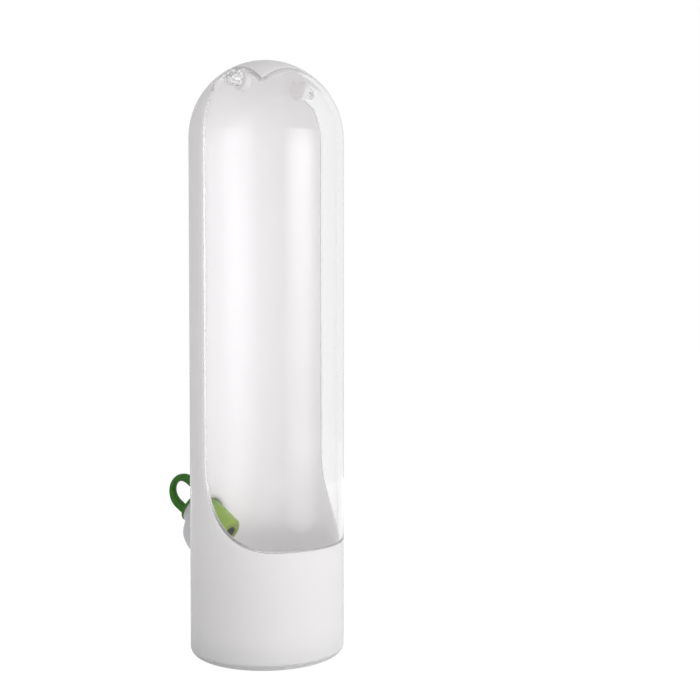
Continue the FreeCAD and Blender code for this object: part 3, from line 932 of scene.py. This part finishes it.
def green_silicone():
    """Silicone that is deep green at its head and paler towards its inner end, with painted shade
    in its hollow.
    """
    material, tree, shader = new_material(
        "green_silicone", Subsurface_Weight=0.35, Subsurface_Radius=(0.25, 1.0, 0.12),
        Subsurface_Scale=3.0 * MM, IOR=1.35)
    from_port = vector_math(tree, "SUBTRACT", own_place(tree), PORT_ORIGIN)["Vector"]
    along = vector_math(tree, "DOT_PRODUCT", from_port, PORT_AXIS)["Value"]
    aside = vector_math(tree, "CROSS_PRODUCT", from_port, PORT_AXIS)["Vector"]
    from_axis = vector_math(tree, "LENGTH", aside)["Value"]
    share = mapped(tree, along, -PLUG_INSIDE, MOUTH_REACH + HEAD_THICKNESS)
    greens = ramp(tree, share, [(0.0, (0.33, 0.49, 0.035)), (0.55, (0.24, 0.43, 0.02)),
                                (1.0, (0.03, 0.19, 0.004))])
    mottle = ramp(tree, noise(tree, scale=220, detail=4),
                  [(NOISE_LOW, (0.85, 0.85, 0.85)), (NOISE_HIGH, FULL)])
    # Painted shade: the hollow's inside is darkened, standing in for the shadow in it.
    near_axis = math_node(tree, "LESS_THAN", from_axis, HOLLOW_RADIUS + HOLLOW_EDGE)
    near_end = math_node(tree, "LESS_THAN", along, HOLLOW_DEPTH - PLUG_INSIDE + HOLLOW_EDGE)
    in_hollow = math_node(tree, "MULTIPLY", near_axis, near_end)
    shadow = ramp(tree, in_hollow, [(0.0, FULL), (1.0, HOLLOW_SHADE)])
    colour = multiplied(tree, multiplied(tree, greens, mottle), shadow)
    link(tree, colour, shader.inputs["Base Color"])
    uneven_roughness(tree, shader, noise(tree, scale=300, detail=4), low=0.16, high=0.34)
    bump(tree, shader, noise(tree, scale=700, detail=3), distance=0.03 * MM, strength=0.3)
    return material


def seal_silicone():
    """Pale grey silicone with a dull, dusty surface."""
    material, tree, shader = new_material("seal_silicone", IOR=1.43)
    colour = ramp(tree, noise(tree, scale=400, detail=3),
                  [(NOISE_LOW, (0.55, 0.57, 0.58)), (NOISE_HIGH, (0.66, 0.68, 0.69))])
    link(tree, colour, shader.inputs["Base Color"])
    uneven_roughness(tree, shader, noise(tree, scale=500, detail=3), low=0.4, high=0.6)
    return material


def pin_steel():
    """Ground stainless pin with fine turning marks along its length."""
    material, tree, shader = new_material("pin_steel", Metallic=1.0)
    wave = tree.nodes.new("ShaderNodeTexWave")
    wave.bands_direction = "X"
    wave.inputs["Scale"].default_value = 3000
    wave.inputs["Distortion"].default_value = 3.0
    link(tree, own_place(tree), wave.inputs["Vector"])
    colour = ramp(tree, wave.outputs["Fac"], [(0.0, (0.80, 0.80, 0.81)), (1.0, (0.92, 0.92, 0.93))])
    link(tree, colour, shader.inputs["Base Color"])
    uneven_roughness(tree, shader, wave.outputs["Fac"], low=0.18, high=0.3)
    return material


def give(item, material):
    item.data.materials.clear()
    item.data.materials.append(material)


# ---- Floor, light and camera ----

CAMERA_TURN = radians(-38.0)
CAMERA_DISTANCE = 0.512
CAMERA_HEIGHT = 0.1506
CAMERA_PITCH = radians(1.915)
CAMERA_YAW = radians(4.11)
CAMERA_LENS = 59.44
SENSOR_WIDTH = 36.0

AMBIENT = 0.50
MIRRORED_SHARE = 0.3
FLOOR_HALF = 2.0
FLOOR_GLOW = 1.08
FLOOR_GLOW_SHARE = 0.9
AIM = Vector((0, 0, TOP * 0.55))

# Soft boxes that show in no reflection: turn in degrees from the camera towards the object's
# right, and power in watts.
SOFT_BOXES = {
    "key": dict(turn=62, distance=0.9, height=0.35, width=0.5, tall=0.7, power=2.5),
    "side": dict(turn=-35, distance=0.9, height=0.25, width=0.5, tall=0.6, power=0.3),
    "front_low": dict(turn=15, distance=0.6, height=0.04, width=0.4, tall=0.12, power=0.9),
    "back_low": dict(turn=180, distance=0.5, height=0.06, width=0.5, tall=0.2, power=1.5),
    "back_right": dict(turn=125, distance=0.8, height=0.2, width=0.5, tall=0.6, power=0.8),
}

# Near soft boxes that only show as highlights, with ramps of their brightness across and upwards.
STREAK_PLACE = dict(distance=0.30, height=0.1445, tall=0.277)
SOFT_SIDES = [(0.0, 0.0), (0.35, 0.85), (0.5, 1.0), (0.65, 0.85), (1.0, 0.0)]
LONG_FADE = [(0.0, 0.28), (0.2, 0.45), (0.35, 0.48), (0.55, 0.6), (0.8, 0.87), (0.91, 1.0),
             (1.0, 0.0)]
SHORT_FADE = [(0.0, 0.0), (0.3, 0.28), (0.55, 0.6), (0.8, 0.75), (0.91, 1.0), (1.0, 0.0)]
PANEL_SIDES = [(0.0, 0.0), (0.18, 1.0), (0.82, 1.0), (1.0, 0.0)]
PANEL_TOP = [(0.0, 0.2), (0.12, 0.8), (0.3, 1.0), (0.93, 1.0), (1.0, 0.0)]
STREAKS = {
    "streak_right": dict(turn=51, width=0.32, power=0.90, across=SOFT_SIDES, upwards=LONG_FADE),
    "streak_left": dict(turn=-56, width=0.21, power=0.06, across=SOFT_SIDES, upwards=SHORT_FADE),
    "panel_left": dict(turn=-55, width=0.60, power=0.19, across=PANEL_SIDES, upwards=PANEL_TOP),
}


def shown_rays(tree):
    """How much a ray shows the background: in full straight or through glass, less mirrored."""
    path = tree.nodes.new("ShaderNodeLightPath").outputs
    total = math_node(tree, "MULTIPLY", path["Is Glossy Ray"], MIRRORED_SHARE)
    for name in ("Is Camera Ray", "Is Transmission Ray"):
        total = math_node(tree, "MAXIMUM", total, path[name])
    return total


def mixed_surface(tree, kind, share, one, other):
    """Output of a kind that shows two shaders mixed by a share."""
    both = tree.nodes.new("ShaderNodeMixShader")
    output = tree.nodes.new(kind)
    link(tree, share, both.inputs["Fac"])
    link(tree, one.outputs[0], both.inputs[1])
    link(tree, other.outputs[0], both.inputs[2])
    link(tree, both.outputs[0], output.inputs["Surface"])


def studio_floor():
    """Plain white floor that keeps a faint shadow of the object."""
    build = Build()
    corners = [(-FLOOR_HALF, -FLOOR_HALF), (FLOOR_HALF, -FLOOR_HALF),
               (FLOOR_HALF, FLOOR_HALF), (-FLOOR_HALF, FLOOR_HALF)]
    build.cap(build.ring((x, y, 0) for x, y in corners))
    floor = build.object("studio_floor")
    material = bpy.data.materials.new("studio_floor")
    material.use_nodes = True
    tree = material.node_tree
    tree.nodes.clear()
    diffuse = tree.nodes.new("ShaderNodeBsdfDiffuse")
    diffuse.inputs["Color"].default_value = (0.8, 0.8, 0.8, 1.0)
    glow = tree.nodes.new("ShaderNodeEmission")
    glow.inputs["Strength"].default_value = FLOOR_GLOW
    share = math_node(tree, "MULTIPLY", shown_rays(tree), FLOOR_GLOW_SHARE)
    mixed_surface(tree, "ShaderNodeOutputMaterial", share, diffuse, glow)
    give(floor, material)


def studio_world():
    """Even light from all round; the background itself shows white."""
    world = bpy.data.worlds.new("studio")
    bpy.context.scene.world = world
    world.use_nodes = True
    tree = world.node_tree
    tree.nodes.clear()
    ambient = tree.nodes.new("ShaderNodeBackground")
    ambient.inputs["Strength"].default_value = AMBIENT
    white = tree.nodes.new("ShaderNodeBackground")
    for node in (ambient, white):
        node.inputs["Color"].default_value = (*FULL, 1.0)
    mixed_surface(tree, "ShaderNodeOutputWorld", shown_rays(tree), ambient, white)


def around(turn, distance, height):
    """Place round the object: turn in degrees from the camera towards its right."""
    angle = CAMERA_TURN + radians(turn)
    return Vector((sin(angle) * distance, -cos(angle) * distance, height))


def soft_light(name, turn, distance, height, width, tall, power):
    """Rectangular soft box that faces the object and shows in no reflection."""
    lamp = bpy.data.lights.new(name, "AREA")
    lamp.shape = "RECTANGLE"
    lamp.size = width
    lamp.size_y = tall
    lamp.energy = power
    item = bpy.data.objects.new(name, lamp)
    bpy.context.scene.collection.objects.link(item)
    item.location = around(turn, distance, height)
    item.rotation_euler = (AIM - item.location).to_track_quat("-Z", "Y").to_euler()
    item.visible_glossy = False
    item.visible_transmission = False
    item.visible_camera = False
    return item


def streak(name, turn, width, power, across, upwards):
    """Near soft box that only shows as a highlight, brighter where its two ramps say."""
    item = soft_light(name, turn=turn, width=width, power=power, **STREAK_PLACE)
    item.visible_glossy = True
    item.visible_transmission = True
    item.visible_diffuse = False
    item.data.use_nodes = True
    tree = item.data.node_tree
    place = tree.nodes.new("ShaderNodeNewGeometry")
    axes = components(tree, place.outputs["Parametric"])
    levels = []
    for axis, stops in (("X", across), ("Y", upwards)):
        shades = [(position, (level, level, level)) for position, level in stops]
        levels.append(ramp(tree, axes[axis], shades))
    link(tree, math_node(tree, "MULTIPLY", *levels), tree.nodes["Emission"].inputs["Strength"])


def camera():
    data = bpy.data.cameras.new("camera")
    data.lens = CAMERA_LENS
    data.sensor_width = SENSOR_WIDTH
    item = bpy.data.objects.new("camera", data)
    bpy.context.scene.collection.objects.link(item)
    item.location = around(0, CAMERA_DISTANCE, CAMERA_HEIGHT)
    heading = CAMERA_TURN - CAMERA_YAW
    item.rotation_euler = Euler((pi / 2 - CAMERA_PITCH, 0, heading), "XYZ")
    bpy.context.scene.camera = item


# ---- The object ----

white = white_plastic("white_moulding", tint=(0.903, 0.88, 0.89), roughness=0.26)
floor_white = white_plastic("floor_moulding", tint=(0.883, 0.86, 0.87), roughness=0.30)
# The filler neck is the same white plastic with a darker bluish tint: painted shade, standing in
# for the shadow it lies in.
spout_shaded_white = white_plastic("spout_moulding", tint=(0.76, 0.76, 0.79), roughness=0.28)
clear = clear_plastic()
green = green_silicone()

for make, node, body, slot, material in (
    (body_moulding, "body_shell", "body", "white_moulding", white),
    (floor_disc, "base_floor", "body", "floor_moulding", floor_white),
    (filler_neck, "fill_spout", "body", "spout_moulding", spout_shaded_white),
    (clear_door, "door", "door", "clear_plastic", clear),
    (plug_and_loop, "fill_plug", "plug", "green_silicone", green),
):
    piece = make()
    give(piece, material)
    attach(piece, body)
    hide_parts(node)
    if material is clear:
        piece.visible_shadow = False
        piece.visible_diffuse = False

give(frame["nodes"]["floor_seal"], seal_silicone())
steel = pin_steel()
for node in ("hinge_pin_left", "hinge_pin_right"):
    give(frame["nodes"][node], steel)

studio_floor()
studio_world()
for name, settings in SOFT_BOXES.items():
    soft_light(name, **settings)
for name, settings in STREAKS.items():
    streak(name, **settings)
camera()

scene = bpy.context.scene
scene.view_settings.view_transform = "Standard"
scene.cycles.max_bounces = 24
scene.cycles.glossy_bounces = 16
scene.cycles.transmission_bounces = 24
